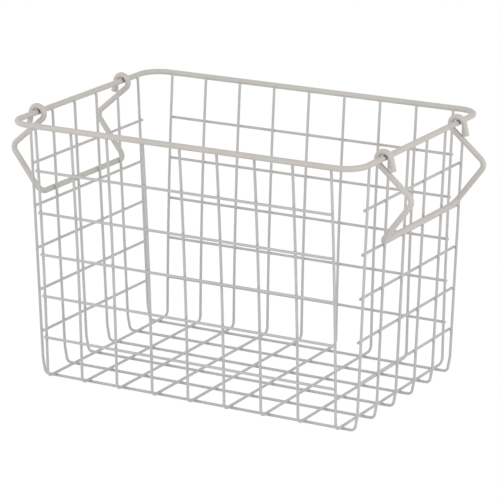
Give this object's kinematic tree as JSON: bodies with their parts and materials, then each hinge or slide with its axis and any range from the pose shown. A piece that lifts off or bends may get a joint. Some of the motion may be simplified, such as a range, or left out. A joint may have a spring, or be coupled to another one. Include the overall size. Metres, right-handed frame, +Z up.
{
  "type": "wire locker basket",
  "caption": "Open rectangular basket of welded, coated steel wire with a heavy rim rod and two bent-rod handles that swing on the rim.",
  "frame": {"origin": "middle of the footprint, at the level of the surface the basket stands on", "axes": "+X along the basket's length toward the right handle, +Y toward the back wall, +Z up"},
  "size_m": [0.4378, 0.27, 0.2704],
  "materials": {
    "coat": "satin"
  },
  "bodies": {
    "basket": {"rim": "coat", "transverse_wire_1": "coat", "transverse_wire_2": "coat", "transverse_wire_3": "coat", "transverse_wire_4": "coat", "transverse_wire_5": "coat", "transverse_wire_6": "coat", "transverse_wire_7": "coat", "transverse_wire_8": "coat", "transverse_wire_9": "coat", "lengthwise_wire_1": "coat", "lengthwise_wire_2": "coat", "lengthwise_wire_3": "coat", "lengthwise_wire_4": "coat", "lengthwise_wire_5": "coat", "lengthwise_wire_6": "coat", "front_rail_1": "coat", "front_rail_2": "coat", "front_rail_3": "coat", "front_rail_4": "coat", "front_rail_5": "coat", "back_rail_1": "coat", "back_rail_2": "coat", "back_rail_3": "coat", "back_rail_4": "coat", "back_rail_5": "coat", "left_rail_1": "coat", "left_rail_2": "coat", "left_rail_3": "coat", "left_rail_4": "coat", "left_rail_5": "coat", "right_rail_1": "coat", "right_rail_2": "coat", "right_rail_3": "coat", "right_rail_4": "coat", "right_rail_5": "coat"},
    "left_handle": {"left_handle": "coat"},
    "right_handle": {"right_handle": "coat"}
  },
  "joints": [
    {"name": "left_handle_swing", "type": "hinge", "parent": "basket", "child": "left_handle", "pos_m": [-0.1879, 0, 0.26165], "axis": [0, 1, 0], "range_deg": [0, 307]},
    {"name": "right_handle_swing", "type": "hinge", "parent": "basket", "child": "right_handle", "pos_m": [0.1879, 0, 0.26165], "axis": [0, -1, 0], "range_deg": [0, 307]}
  ]
}
